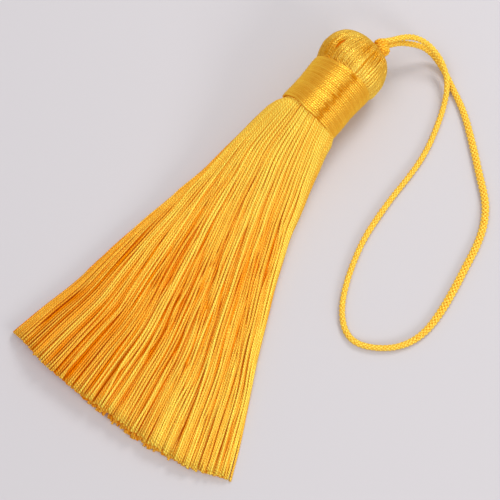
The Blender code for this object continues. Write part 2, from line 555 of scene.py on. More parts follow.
@dataclass
class SilkGroups:
    """Shader node groups that every silk finish of the tassel shares.

    Slip shifts the plies slowly along a thread, by as many turns at most. Each
    thread reads the noises at a place of its own, which its tint gives.
    """

    slip_scale: float = 0.35
    slip: float = 2.5
    own_start: float = 17.0
    ply_fullness: float = 0.85
    fibre_scales: tuple[float, float] = (0.7, 9.0)
    tint_scale: float = 40.0
    least_depth: float = 0.05
    twist: bpy.types.NodeTree = field(init=False)
    tone: bpy.types.NodeTree = field(init=False)

    def __post_init__(self) -> None:
        """Build both groups."""
        self.twist = self._build_twist()
        self.tone = self._build_tone()

    def _build_twist(self) -> bpy.types.NodeTree:
        """Build the slanting plies and fine fibres of a thread.

        Returns:
            The group. Its Groove is 1 on a ply and 0 between two plies.
        """
        given = {"Pitch": "Float", "Plies": "Float", "Fibre": "Float"}
        wiring = Wiring("thread_twist", given, {"Height": "Float", "Groove": "Float"})
        calc, given = wiring.calc, wiring.given
        along, around = wiring.thread_map()
        own = calc("MULTIPLY", wiring.attribute("tint"), self.own_start)
        slip = wiring.noise(calc("MULTIPLY", along, self.slip_scale), own, 1.0)
        phase = calc("DIVIDE", along, given["Pitch"])
        phase = calc("ADD", phase, calc("MULTIPLY", around, given["Plies"]))
        phase = calc("ADD", phase, own)
        phase = calc("ADD", phase, calc("MULTIPLY", slip, self.slip))
        wave = calc("COSINE", calc("MULTIPLY", phase, TURN))
        groove = calc("POWER", calc("MULTIPLY_ADD", wave, 0.5, 0.5), self.ply_fullness)
        length, girth = self.fibre_scales
        fibres = wiring.noise(calc("MULTIPLY", along, length), calc("MULTIPLY", around, girth), 2.0)
        rough = calc("MULTIPLY", fibres, given["Fibre"])
        wiring.join(calc("ADD", groove, rough), wiring.made["Height"])
        wiring.join(groove, wiring.made["Groove"])
        return wiring.tree

    def _build_tone(self) -> bpy.types.NodeTree:
        """Build a thread's colour from its shade, its depth and its grooves. Its lit and deep colours are
        mixed by its depth as painted light and shade, and the grooves between plies get painted shade.

        Returns:
            The group.
        """
        colours = {name: "Color" for name in ("Lit", "Deep", "Shade")}
        floats = ("Groove", "Hollow", "Spread", "Depth Gain", "Drift")
        given = colours | {name: "Float" for name in floats}
        wiring = Wiring("silk_tone", given, {"Colour": "Color"})
        calc, given = wiring.calc, wiring.given
        tint, (along, _) = wiring.attribute("tint"), wiring.thread_map()
        slow = calc("MULTIPLY", along, given["Drift"])
        drift = wiring.noise(slow, calc("MULTIPLY", tint, self.tint_scale), 1.0)
        shade = calc("SUBTRACT", calc("ADD", tint, drift), 1.0)
        shade = calc("MULTIPLY", shade, given["Spread"])
        total = calc("MULTIPLY", wiring.attribute("depth"), given["Depth Gain"])
        total = calc("SUBTRACT", total, shade)
        total = calc("ADD", total, self.least_depth, clamp=True)
        # Painted light and shade: lit and deep colours mixed by the painted depth.
        plain = wiring.mix("MIX", total, given["Lit"], given["Deep"])
        # Painted shade in the grooves between plies.
        hollow = calc("SUBTRACT", 1.0, given["Groove"])
        hollow = calc("MULTIPLY", hollow, given["Hollow"], clamp=True)
        shaded = wiring.mix("MULTIPLY", hollow, plain, given["Shade"])
        wiring.join(shaded, wiring.made["Colour"])
        return wiring.tree


@dataclass(frozen=True)
class SilkFinish:
    """A silk finish: its colours, gloss and twist.

    Attributes:
        name: The material's name.
        lit: Colour of the silk where it lies lit on top.
        deep: Painted shade: colour of the silk well inside, where shade falls.
        shade: What the grooves between plies multiply the colour by, as painted shade.
        roughness: Of the gloss.
        metallic: How much of the gloss takes the silk's own colour.
        pitch: Length of one turn of a thread's plies, in millimetres.
        fibre: How much the fine fibres roughen the plies.
        relief: Strength of the bump.
        hollow: How much the grooves are shaded.
        spread: How far single threads differ in depth of tone.
        depth_gain: How fast the tone deepens with depth.
        glow: Strength of a painted warm glow, an emission that stands in for light passing through the
            silk into its shaded gaps.
        drift: How fast a thread's tone changes along it, for a millimetre.
        plies: How many plies a thread has.
        bump_distance: Height of the bump, in millimetres.
        sheen: Strength of the gloss seen square on.
        sheen_tint: Its tint.
        ior: How much stronger the gloss gets at a slant.
        glow_colour: Colour of that painted warm glow.
    """

    name: str
    lit: Colour
    deep: Colour
    shade: Colour
    roughness: float
    metallic: float
    pitch: float
    fibre: float
    relief: float
    hollow: float
    spread: float
    depth_gain: float
    glow: float
    drift: float = 0.16
    plies: float = 2.0
    bump_distance: float = 0.07
    sheen: float = 0.12
    sheen_tint: Colour = (1.0, 0.80, 0.32)
    ior: float = 1.12
    glow_colour: Colour = (1.0, 0.16, 0.0)

    def build(self, groups: SilkGroups) -> bpy.types.Material:
        """Make the material.

        Args:
            groups: The node groups that the finishes share.

        Returns:
            The material, its constants on the shader's own sockets.
        """
        made = bpy.data.materials.new(self.name)
        made.use_nodes = True
        tree = made.node_tree
        shader = tree.nodes["Principled BSDF"]
        # Emission here is a painted warm glow, standing in for light that passes through the silk; the
        # silk is no lamp.
        set_inputs(shader, {
            "Roughness": self.roughness,
            "Metallic": self.metallic,
            "Specular IOR Level": self.sheen,
            "Specular Tint": (*self.sheen_tint, 1.0),
            "IOR": self.ior,
            "Emission Color": (*self.glow_colour, 1.0),
            "Emission Strength": self.glow,
        })
        twist = tree.nodes.new("ShaderNodeGroup")
        twist.node_tree = groups.twist
        set_inputs(twist, {"Pitch": self.pitch, "Plies": self.plies, "Fibre": self.fibre})
        tone = tree.nodes.new("ShaderNodeGroup")
        tone.node_tree = groups.tone
        set_inputs(tone, {
            "Lit": (*self.lit, 1.0),
            "Deep": (*self.deep, 1.0),
            "Shade": (*self.shade, 1.0),
            "Hollow": self.hollow,
            "Spread": self.spread,
            "Depth Gain": self.depth_gain,
            "Drift": self.drift,
        })
        bump_node = tree.nodes.new("ShaderNodeBump")
        set_inputs(bump_node, {"Strength": self.relief, "Distance": self.bump_distance * MM})
        for value, into in (
            (twist.outputs["Groove"], tone.inputs["Groove"]),
            (tone.outputs["Colour"], shader.inputs["Base Color"]),
            (twist.outputs["Height"], bump_node.inputs["Height"]),
            (bump_node.outputs["Normal"], shader.inputs["Normal"]),
        ):
            tree.links.new(value, into)
        return made


FRINGE_SILK = SilkFinish(
    "fringe_silk", lit=(0.96, 0.770, 0.128), deep=(0.87, 0.295, 0.001), shade=(0.80, 0.54, 0.12),
    roughness=0.34, metallic=0.30, pitch=0.62, fibre=0.8, relief=1.0, hollow=0.72,
    spread=0.55, depth_gain=1.00, glow=0.060,
)
HEAD_SILK = SilkFinish(
    "head_silk", lit=(0.87, 0.680, 0.125), deep=(0.60, 0.275, 0.012), shade=(0.88, 0.66, 0.25),
    roughness=0.30, metallic=0.45, pitch=0.58, fibre=1.0, relief=1.0, hollow=0.55,
    spread=0.85, depth_gain=0.85, glow=0.07, drift=1.50,
)
# Painted shade: the head's core is deep orange, standing for the shade between the head's threads.
SHADED_CORE_SILK = SilkFinish(
    "head_core_shade_silk", lit=(0.80, 0.24, 0.002), deep=(0.76, 0.20, 0.001), shade=(0.88, 0.66, 0.30),
    roughness=0.45, metallic=0.20, pitch=0.58, fibre=0.3, relief=1.0, hollow=0.60,
    spread=0.40, depth_gain=0.85, glow=0.06,
)
WOUND_SILK = SilkFinish(
    "wound_binding_silk", lit=(0.88, 0.585, 0.072), deep=(0.58, 0.22, 0.002),
    shade=(0.88, 0.66, 0.30), roughness=0.29, metallic=0.56, pitch=0.60, fibre=0.6, relief=0.35,
    hollow=0.25, spread=0.38, depth_gain=0.90, glow=0.08, drift=0.80,
)
BRAID_SILK = SilkFinish(
    "braided_cord_silk", lit=(0.90, 0.70, 0.112), deep=(0.82, 0.39, 0.012),
    shade=(0.88, 0.66, 0.25), roughness=0.34, metallic=0.30, pitch=0.50, fibre=0.8, relief=0.40,
    hollow=0.30, spread=0.30, depth_gain=1.35, glow=0.07, plies=1.0,
)


# Studio: camera, floor and lights


@dataclass(frozen=True)
class SoftBox:
    """A soft box: where it hangs, its size in millimetres and its power in watts."""

    name: str
    spot: tuple[float, float, float]
    size: tuple[float, float]
    power: float
    colour: Colour


@dataclass
class Studio:
    """Camera, pale floor and soft lights, set out from the picture's side."""

    turn_deg: float = 33.2
    centre: tuple[float, float] = (4.12, -3.75)
    elevation_deg: float = 74.0
    distance: float = 320.0
    lens: float = 105.0
    sensor: float = 36.0
    clip_m: tuple[float, float] = (0.01, 20.0)
    floor_half_m: float = 3.0
    floor_below: float = 0.02
    floor_colour: Colour = (0.580, 0.557, 0.586)
    sky: float = 0.58
    aim_height: float = 5.0
    boxes: tuple[SoftBox, ...] = (
        SoftBox("key_box", (-135.0, -20.0, 470.0), (280.0, 280.0), 0.64, (1.0, 0.99, 0.975)),
        SoftBox("side_box", (330.0, -340.0, 260.0), (200.0, 160.0), 0.95, (1.0, 0.985, 0.96)),
        SoftBox("head_box", (185.0, 265.0, 340.0), (150.0, 150.0), 0.80, (1.0, 0.985, 0.96)),
    )

    def spot(self, across: float, away: float, up: float) -> Vector:
        """Find a point told as the picture shows it.

        Args:
            across: How far right of the picture's centre, in millimetres.
            away: How far behind it.
            up: How far above the floor.

        Returns:
            The point in the model's frame, in metres.
        """
        turn = math.radians(self.turn_deg)
        x = across * math.cos(turn) - away * math.sin(turn) + self.centre[0]
        y = across * math.sin(turn) + away * math.cos(turn) + self.centre[1]
        return Vector((x, y, up)) * MM

    def stand(self, made: bpy.types.Object, where: Vector, aim: Vector) -> None:
        """Stand a camera or a light in the studio and turn it to what it faces.

        Args:
            made: The camera or light.
            where: Its place, in metres.
            aim: The point that it faces, in metres.
        """
        made.location = where
        made.rotation_euler = (aim - where).to_track_quat("-Z", "Y").to_euler()
        bpy.context.scene.collection.objects.link(made)

    def camera(self) -> None:
        """Stand the camera at the picture's angle."""
        data = bpy.data.cameras.new("camera")
        data.lens = self.lens
        data.sensor_width = self.sensor
        data.clip_start, data.clip_end = self.clip_m
        made = bpy.data.objects.new("camera", data)
        rise = math.radians(self.elevation_deg)
        where = self.spot(0.0, -self.distance * math.cos(rise), self.distance * math.sin(rise))
        self.stand(made, where, self.spot(0.0, 0.0, 0.0))
        bpy.context.scene.camera = made

    def floor(self) -> None:
        """Lay the plain pale floor."""
        shape = bmesh.new()
        bmesh.ops.create_grid(shape, x_segments=1, y_segments=1, size=self.floor_half_m)
        data = bpy.data.meshes.new("floor")
        shape.to_mesh(data)
        shape.free()
        made = bpy.data.objects.new("floor", data)
        made.location.z = -self.floor_below * MM
        bpy.context.scene.collection.objects.link(made)
        paper = bpy.data.materials.new("pale_floor")
        paper.use_nodes = True
        colour = (*self.floor_colour, 1.0)
        shader = paper.node_tree.nodes["Principled BSDF"]
        set_inputs(shader, {"Base Color": colour, "Roughness": 0.8, "Specular IOR Level": 0.2})
        data.materials.append(paper)

    def lamp(self, box: SoftBox) -> None:
        """Hang one soft box.

        Args:
            box: Its place, size and light.
        """
        data = bpy.data.lights.new(box.name, "AREA")
        data.shape = "RECTANGLE"
        data.size, data.size_y = box.size[0] * MM, box.size[1] * MM
        data.energy = box.power
        data.color = box.colour
        made = bpy.data.objects.new(box.name, data)
        self.stand(made, self.spot(*box.spot), self.spot(0.0, 0.0, self.aim_height))

    def build(self) -> None:
        """Set up the whole studio."""
        self.camera()
        self.floor()
        for box in self.boxes:
            self.lamp(box)
        world = bpy.data.worlds.new("studio")
        world.use_nodes = True
        back = world.node_tree.nodes["Background"]
        set_inputs(back, {"Color": (1.0, 1.0, 1.0, 1.0), "Strength": self.sky})
        bpy.context.scene.world = world
        bpy.context.scene.view_settings.view_transform = "Standard"


# The neck's own axis


@dataclass
class NeckAxis:
    """Axis of head, binding and root of the fringe, whose Y runs to the head."""

    x: float = -0.58
    y: float = 26.93
    z: float = 7.40
    turn_deg: float = -5.5
    rise_deg: float = 2.0
    matrix: Matrix = field(init=False)

    def __post_init__(self) -> None:
        """Work out the placement from the angles."""
        place_at = Matrix.Translation((self.x, self.y, self.z))
        turn = Matrix.Rotation(math.radians(self.turn_deg), 4, "Z")
        self.matrix = place_at @ turn @ Matrix.Rotation(math.radians(self.rise_deg), 4, "X")

    def out(self, points: Array) -> Array:
        """Move points from the neck's frame to the model's."""
        grid = np.array(self.matrix)
        return points @ grid[:3, :3].T + grid[:3, 3]


# Fringe


@dataclass(frozen=True)
class LockWave:
    """One wave of the field that draws threads together into locks."""

    across: float
    along: float
    phase: float
    gather: float
    valley: float

    def read(self, across: float, along: Array) -> tuple[Array, Array]:
        """Read the wave along one thread.

        Args:
            across: The thread's place across the fringe, from -1 to 1.
            along: Places along it, from 0 to 1.

        Returns:
            The sideways pull in the units of across, and the valley's depth.
        """
        swell = 0.6 + 0.4 * np.sin(7.0 * along + 3.0 * self.phase + 2.0 * across)
        phase = math.pi * self.across * across + TURN * self.along * along + self.phase
        pull = swell * self.gather / (math.pi * self.across) * np.sin(phase)
        return pull, swell * self.valley * np.maximum(0.0, np.cos(phase)) ** 2


@dataclass(frozen=True)
class Furrow:
    """A narrow place along the fringe where its upper threads stand apart."""

    start: float
    across_start: float
    end: float
    across_end: float
    half: float
    stops: Stops = (-0.10, 0.30, 0.70, 1.10)
    parting: float = 0.6

    def reach(self, across: Array, down: Array) -> tuple[Array, Array]:
        """Tell where a thread stands to the furrow.

        Args:
            across: Its places across the fringe, from -1 to 1.
            down: How far below the binding they are, in millimetres.

        Returns:
            How much of the furrow each place has, from 0 to 1, and how far
            sideways the place is parted from it.
        """
        share = (down - self.start) / (self.end - self.start)
        off = across - self.across_start - share * (self.across_end - self.across_start)
        window = rise_and_fall(self.stops, share)
        mean = float((window * off).sum() / max(float(window.sum()), TINY))
        part = self.parting * self.half * math.exp(-abs(mean) / (2.0 * self.half))
        sunk = math.exp(-(mean / self.half) ** 2)
        return window * sunk, window * math.copysign(part, mean)


@dataclass
class Fringe:
    """Fringe of fine threads fanned from the neck and laid on the floor."""

    neck: NeckAxis
    radius: float = 0.27
    root: float = 6.90
    shells: int = 11
    crowding: float = 0.88
    left_crowding: float = 0.24
    nesting: float = 0.84
    points: int = 40
    start: float = -2.5
    twist_deg: float = 33.0
    twist_end: float = 64.0
    least_edge: float = 0.05
    crowded_root: float = 1.2
    straight_to: float = 14.0
    neck_lean: float = -0.075
    neck_spread: float = 0.215
    swell_from: tuple[float, float] = (30.0, 76.0)
    loosening: tuple[float, float] = (3.0, 30.0)
    lock_length: float = 80.0
    valley_sink: float = 1.6
    furrow_sink: float = 0.9
    strays: float = 0.10
    stray_storey: float = 0.65
    stray_lift: float = 0.30
    rounds: int = 24
    neighbours: int = 26
    push: float = 0.30
    headroom: float = 0.50
    beside: float = 2.2
    full_depth: float = 1.1
    smoothing: int = 3
    flyaway: float = 0.65
    flyaway_from: tuple[float, float] = (54.0, 72.0)
    taper: tuple[float, float] = (1.34, 0.95)
    cut_end: float = 1.08
    seed: int = 11
    edges: tuple[Row, ...] = (
        # down, left, right, half_thick, lift, flatness
        (-2.5, -6.20, 6.20, 6.20, 1.30, 0.00), (0.0, -7.05, 6.85, 6.60, 0.80, 0.00),
        (0.8, -7.90, 7.05, 6.62, 0.70, 0.03), (1.8, -8.85, 7.40, 6.68, 0.42, 0.10),
        (3.0, -9.40, 7.70, 6.50, 0.25, 0.18), (4.5, -9.98, 7.60, 6.20, 0.15, 0.28),
        (7.0, -10.80, 7.95, 5.75, 0.05, 0.45), (10.0, -11.55, 8.30, 5.25, 0.00, 0.62),
        (14.0, -12.48, 8.95, 4.70, 0.00, 0.80), (18.0, -13.28, 9.78, 4.20, 0.00, 0.92),
        (23.0, -14.35, 10.57, 3.65, 0.00, 1.00), (28.0, -15.80, 12.02, 3.25, 0.00, 1.00),
        (34.0, -17.45, 13.80, 2.85, 0.00, 1.00), (42.0, -19.70, 16.60, 2.50, 0.00, 1.00),
        (50.0, -21.62, 19.45, 2.20, 0.00, 1.00), (58.0, -23.40, 22.60, 2.00, 0.00, 1.00),
        (66.0, -25.90, 25.45, 1.85, 0.00, 1.00), (80.0, -29.70, 30.15, 1.70, 0.00, 1.00),
    )
    tips: tuple[Row, ...] = (
        # across, down, thickness, under_shorter, jitter
        (-1.00, 74.30, 1.80, 3.0, 0.03), (-0.85, 75.05, 1.80, 3.0, 0.03),
        (-0.72, 75.95, 1.75, 3.0, 0.03), (-0.62, 76.60, 1.65, 2.8, 0.04),
        (-0.50, 77.00, 1.50, 2.2, 0.08), (-0.30, 77.40, 1.35, 0.2, 0.20),
        (-0.10, 77.50, 1.20, -0.8, 0.24), (0.05, 77.60, 1.10, -0.9, 0.24),
        (0.20, 78.00, 1.05, -0.9, 0.24), (0.32, 78.10, 1.00, -0.8, 0.24),
        (0.50, 77.90, 0.95, -0.4, 0.22), (0.65, 77.85, 0.90, 0.0, 0.18),
        (0.81, 76.60, 0.85, 0.1, 0.15), (1.00, 75.30, 0.80, 0.1, 0.12),
    )
    waves: tuple[LockWave, ...] = (
        LockWave(5.0, 0.20, 0.3, 0.12, 0.02),
        LockWave(8.0, -0.30, 2.1, 0.16, 0.04),
        LockWave(11.0, 0.45, 4.0, 0.22, 0.08),
        LockWave(16.0, -0.50, 1.2, 0.26, 0.12),
        LockWave(22.0, 0.75, 5.2, 0.28, 0.15),
        LockWave(31.0, -0.95, 3.3, 0.28, 0.16),
    )
    furrows: tuple[Furrow, ...] = (
        Furrow(18.6, -0.48, 50.0, -0.24, 0.020), Furrow(40.0, -0.38, 51.5, -0.38, 0.018),
        Furrow(54.0, -0.38, 79.0, -0.38, 0.020), Furrow(43.0, 0.45, 64.4, 0.45, 0.018),
        Furrow(42.8, 0.17, 62.8, 0.16, 0.017), Furrow(31.6, 0.15, 51.6, 0.26, 0.017),
        Furrow(26.4, 0.31, 46.8, 0.40, 0.017), Furrow(15.0, -0.04, 31.6, 0.13, 0.017),
        Furrow(45.6, 0.34, 61.0, 0.34, 0.015), Furrow(24.4, 0.76, 38.8, 0.82, 0.020),
        Furrow(15.2, 0.51, 32.4, 0.71, 0.020), Furrow(37.4, 0.06, 57.6, 0.03, 0.014),
        Furrow(53.6, 0.07, 76.0, 0.05, 0.014), Furrow(37.0, -0.09, 54.6, -0.09, 0.014),
        Furrow(31.0, -0.60, 42.4, -0.58, 0.017), Furrow(57.8, -0.87, 71.2, -0.88, 0.015),
        Furrow(32.8, 0.58, 46.2, 0.61, 0.014), Furrow(37.8, -0.75, 53.0, -0.80, 0.015),
        Furrow(51.0, 0.73, 63.2, 0.70, 0.014), Furrow(58.0, 0.56, 74.8, 0.54, 0.012),
    )
    # Painted light and shade: regions of the fringe made deeper or lighter in tone.
    painted_tones: tuple[Row, ...] = (
        # depth, more_in_valleys, side, across_from, across_to, down_from, down_to
        (0.24, 0.0, 1.0, -3.0, -2.0, 2.0, 46.0), (-0.18, 0.0, 1.0, -0.1, 0.6, 20.0, 65.0),
        (0.09, 0.0, -1.0, 0.0, 0.6, 30.0, 62.0), (0.05, 0.0, -1.0, -0.6, 0.3, 26.0, 60.0),
        (-0.03, 0.7, -1.0, 0.0, 0.4, 14.0, 30.0),
    )

    def seeds(self, rng: np.random.Generator) -> list[tuple[float, float]]:
        """Set threads out in the round root, shell within shell.

        Args:
            rng: Seeded source of chance.

        Returns:
            Each thread's place, across and upward, with the root's rim at 1.
        """
        gap = 2.0 * self.radius / (self.root - self.radius)
        found = []
        for shell in range(self.shells):
            reach = 1.0 - self.nesting * shell * gap
            count = int(TURN * reach / (self.crowding * gap))
            for index in range(count):
                turn = TURN * (index + GOLDEN * shell + rng.normal(0.0, 0.10)) / count
                turn = turn + self.left_crowding * math.sin(turn)
                own = reach * (1.0 - abs(rng.normal(0.0, 0.004)))
                found.append((own * math.cos(turn), own * math.sin(turn)))
        return found

    def stations(
        self, rng: np.random.Generator, seed: tuple[float, float]
    ) -> tuple[Array, Array, float]:
        """Set out the points of one thread from the root to its cut end.

        Args:
            rng: Seeded source of chance.
            seed: The thread's place in the round root.

        Returns:
            Its points' places from 0 to 1, how far below the binding they are
            in millimetres, and how thick the fringe's end is there.
        """
        rim = max(math.sqrt(max(0.0, 1.0 - seed[0] ** 2)), self.least_edge)
        storey = 0.5 * (1.0 + seed[1] / rim)
        tip, thickness, shorter, jitter = soft_rows(self.tips, np.array([seed[0]]))[0]
        under = (1.0 - storey) ** (2.2 if shorter > 0.0 else 1.1)
        tip = tip - shorter * under + rng.normal(0.0, jitter)
        share = np.linspace(0.0, 1.0, self.points) ** self.crowded_root
        return share, self.start + (tip - self.start) * share, thickness

    def section(self, down: Array, across: Array, thickness: float) -> tuple[Array, ...]:
        """Read the fringe's cross sections where a thread's points are.

        Args:
            down: How far below the binding they are, in millimetres.
            across: Their places across the fringe, from -1 to 1.
            thickness: How thick the fringe's end is, for the table's 1.

        Returns:
            Middle, half width, half thickness, lift and flatness.
        """
        left, right, half_thick, lift, flatness = soft_rows(self.edges, down).T
        middle, half_width = 0.5 * (right + left), 0.5 * (right - left) - self.radius
        inner = (1.0 - np.abs(across) ** 1.5) * (1.0 - smooth_step(0.0, self.straight_to, down))
        middle = middle * (1.0 - inner) + inner * np.clip(down, 0.0, self.straight_to) * self.neck_lean
        straight = self.root - self.radius + self.neck_spread * down
        half_width = half_width * (1.0 - inner) + inner * straight
        swell = (thickness - 1.0) * smooth_step(*self.swell_from, down)
        return middle, half_width, half_thick * (1.0 + swell) - self.radius, lift, flatness

    def liveliness(self, across: float, down: Array) -> Array:
        """Tell how freely a thread strays: least at the left, most at the upper right.

        Args:
            across: The thread's place across the fringe, from -1 to 1.
            down: How far below the binding its points are, in millimetres.

        Returns:
            What its pulls and strays are multiplied by.
        """
        lively = 0.32 + 0.48 * float(smooth_step(-0.8, -0.1, across))
        right = float(smooth_step(0.1, 0.6, across))
        return lively + right * (0.16 + 0.36 * (1.0 - smooth_step(48.0, 68.0, down)))

    def thread(self, rng: np.random.Generator, seed: tuple[float, float]) -> tuple[Array, Array]:
        """Lay one thread where it lies before the threads settle.

        Args:
            rng: Seeded source of chance.
            seed: Its place in the round root.

        Returns:
            Its points in millimetres, and the valley that it lies in.
        """
        share, down, thickness = self.stations(rng, seed)
        reach, last_turn = math.hypot(*seed), math.atan2(*seed)
        left_to_go = 1.0 - np.clip(down / self.twist_end, 0.0, 1.0)
        turn = last_turn - math.radians(self.twist_deg) * left_to_go ** 1.8
        across, upward = reach * np.sin(turn), reach * np.cos(turn)
        edge = np.sqrt(np.maximum(0.0, 1.0 - across ** 2))
        storey = np.clip(0.5 * (upward / np.maximum(edge, self.least_edge) + 1.0), 0.0, 1.0)
        middle, half_width, half_thick, lift, flatness = self.section(down, across, thickness)
        loose = smooth_step(*self.loosening, down)
        inside = np.maximum(0.0, 1.0 - np.abs(across) ** 6)
        lively = self.liveliness(seed[0], down)
        reads = [wave.read(seed[0], down / self.lock_length) for wave in self.waves]
        pull, valley = (lively * inside * sum(values) for values in zip(*reads))
        below = half_thick * (edge - upward)
        across = across + loose * pull * (0.25 + 0.75 * storey)
        furrow = np.zeros_like(down)
        for line in self.furrows:
            sunk, parted = line.reach(across, down)
            furrow = np.maximum(furrow, sunk)
            across = across + parted * np.exp(-below / 1.5)
        stray = 0.20 * wander(rng, share, 6, 0.9)
        stray = stray + rng.normal(0.0, 0.75) * smooth_step(0.35, 1.0, share)
        sideways = half_width * across + lively * inside * loose * stray
        height = lift + half_thick * (upward + 1.0 + flatness * (edge - 1.0))
        sink = self.valley_sink * loose * valley + self.furrow_sink * furrow
        height = height - sink * np.exp(-below / 1.0)
        stray = 0.10 * wander(rng, share, 7, 0.8) + rng.normal(0.0, 0.14)
        height = height + lively * loose * stray
        if storey[-1] > self.stray_storey and rng.random() < self.strays:
            sideways = sideways + inside * loose * rng.normal(0.0, 0.9) * share
            height = height + self.stray_lift * loose
        height = np.maximum(height, 0.0) + self.radius
        points = np.stack((middle + sideways + self.neck.x, self.neck.y - down, height), axis=1)
        return points, np.minimum(1.0, loose * valley + furrow)

    def settle(self, lines: Array, radii: Array, valleys: Array) -> Array:
        """Push threads that share a place apart, station by station.

        Args:
            lines: Points of every thread, in millimetres.
            radii: Radius of every thread along its line.
            valleys: How much of a valley each point lies in, from 0 to 1.

        Returns:
            The points, moved crosswise alone and never under the floor.
        """
        loose = smooth_step(2.0, 30.0, self.neck.y - lines[:, :, 1])
        left, right = lines[:, :, 0].min(axis=0), lines[:, :, 0].max(axis=0)
        ceiling = lines[:, :, 2] + self.headroom * (1.0 - valleys)
        for _ in range(self.rounds):
            order = np.argsort(lines[:, :, 0], axis=0)
            x, z, radius = (
                np.take_along_axis(values, order, 0) for values in (lines[:, :, 0], lines[:, :, 2], radii)
            )
            push = np.zeros((2, *x.shape))
            for step in range(1, self.neighbours):
                gap = np.stack((x[step:] - x[:-step], z[step:] - z[:-step]))
                apart = np.maximum(np.hypot(*gap), 1e-4)
                short = np.maximum(0.0, radius[step:] + radius[:-step] - apart)
                move = self.push * short / apart * gap
                push[:, step:] += move
                push[:, :-step] -= move
            for axis, share in ((0, push[0]), (2, push[1])):
                moved = np.empty_like(share)
                np.put_along_axis(moved, order, share, 0)
                for _ in range(2):
                    moved[:, 1:-1] = 0.25 * (moved[:, :-2] + moved[:, 2:]) + 0.5 * moved[:, 1:-1]
                lines[:, :, axis] += loose * moved
            lines[:, :, 0] = np.clip(lines[:, :, 0], left, right)
            lines[:, :, 2] = np.clip(lines[:, :, 2], radii, ceiling)
        return lines

    def buried(self, lines: Array) -> Array:
        """Tell how far threads lie below the highest one beside them.

        Args:
            lines: Points of every thread, in millimetres.

        Returns:
            The depth of every point, from 0 to 1.
        """
        order = np.argsort(lines[:, :, 0], axis=0)
        x, z = (np.take_along_axis(lines[:, :, axis], order, 0) for axis in (0, 2))
        top = z.copy()
        for step in range(1, self.neighbours):
            near = x[step:] - x[:-step] < self.beside * self.radius
            top[step:] = np.maximum(top[step:], np.where(near, z[:-step], 0.0))
            top[:-step] = np.maximum(top[:-step], np.where(near, z[step:], 0.0))
        depth = np.empty_like(z)
        below = np.clip((top - z - 0.05) / self.full_depth, 0.0, 1.0)
        np.put_along_axis(depth, order, below, 0)
        side, width = self.smoothing, 2 * self.smoothing + 1
        soft = np.pad(depth, ((0, 0), (side, side)), mode="edge")
        return sum(soft[:, step:step + depth.shape[1]] for step in range(width)) / width

    def tone(self, lines: Array, valleys: Array, across: Array) -> Array:
        """Paint light and shade into the silk's tone: deeper where a thread lies below its neighbours or
        in a valley, lighter near the neck, towards the right edge and at the cut ends, with some regions
        made deeper or lighter.

        Args:
            lines: Points of every settled thread, in millimetres.
            valleys: How much of a valley each point lies in, from 0 to 1.
            across: Every thread's place across the root, from -1 to 1.

        Returns:
            The depth of every point, from 0 to 1.
        """
        down = self.neck.y - lines[:, :, 1]
        # Painted shade where threads lie buried or in valleys, less near the neck, which is painted
        # lighter.
        depth = 0.9 * self.buried(lines) + 0.50 * valleys
        depth = depth * (0.45 + 0.55 * smooth_step(4.0, 40.0, down))
        for amount, in_valleys, side, across_from, across_to, start, end in self.painted_tones:
            share = smooth_step(across_from, across_to, side * across) * smooth_step(start, end, down)
            depth = depth + (amount + in_valleys * valleys) * share
        # Painted light: lighter towards the right edge.
        off_right = lines[:, :, 0] - lines[:, :, 0].max(axis=0)
        depth = depth * (1.0 - 0.8 * smooth_step(-1.8, -0.4, off_right))
        # Painted light: the cut ends are lighter, least at the left.
        ragged = smooth_step(-0.55, -0.25, across)
        depth[:, -2:] *= 1.0 - np.array((0.1, 0.5)) * (0.3 + 0.7 * ragged)
        return np.clip(depth, 0.0, 1.0)

    def build(self, finish: bpy.types.Material) -> list[bpy.types.Object]:
        """Lay every thread and sweep them into two pieces.

        Args:
            finish: Their finish.

        Returns:
            The upper and the lower half of the fringe.
        """
        rng = np.random.default_rng(self.seed)
        seeds = self.seeds(rng)
        laid = [self.thread(rng, seed) for seed in seeds]
        lines, valleys = (np.array(values) for values in zip(*laid))
        across = np.array([seed[0] for seed in seeds])[:, None]
        radii = np.linspace(*self.taper, self.points) * self.radius
        radii = radii * rng.uniform(0.90, 1.06, len(seeds))[:, None]
        finer, thicker = 0.15 * smooth_step(0.1, 0.8, -across), 0.04 * smooth_step(0.1, 0.8, across)
        radii = radii * (1.0 - finer + thicker)
        lines = self.settle(lines, radii, valleys)
        last = int(np.argmax(lines[:, -1, 0]))
        freed = smooth_step(*self.flyaway_from, self.neck.y - lines[last, :, 1])
        lines[last, :, 0] += self.flyaway * freed
        depth = self.tone(lines, valleys, across)
        radii[:, -1] *= self.cut_end
        upper, lower = (Bundle(name, Slot.HANK) for name in ("fringe_upper", "fringe_lower"))
        for index, seed in enumerate(seeds):
            into = upper if seed[1] > 0.0 else lower
            into.add(lines[index], radii[index], rng.random(), depth[index])
        return [upper.mesh(finish), lower.mesh(finish)]


# Head


@dataclass(frozen=True)
class Slit:
    """A place where neighbouring threads of the head stand apart."""

    angle_deg: float
    start: float
    end: float
    opening_deg: float
    fade: float = 2.0
    fade_across: float = 0.10

    def parted(self, angle: Array, places: Array) -> Array:
        """Tell how far angles are turned away from the slit.

        Args:
            angle: Angles about the axis along a thread.
            places: Places along the table of rings.

        Returns:
            The turn of each, in radians.
        """
        off = wrapped(angle - math.radians(self.angle_deg))
        stops = (self.start, self.start + self.fade, self.end - self.fade, self.end)
        push = math.radians(self.opening_deg) * np.exp(-np.abs(off) / self.fade_across)
        return np.sign(off) * push * rise_and_fall(stops, places)


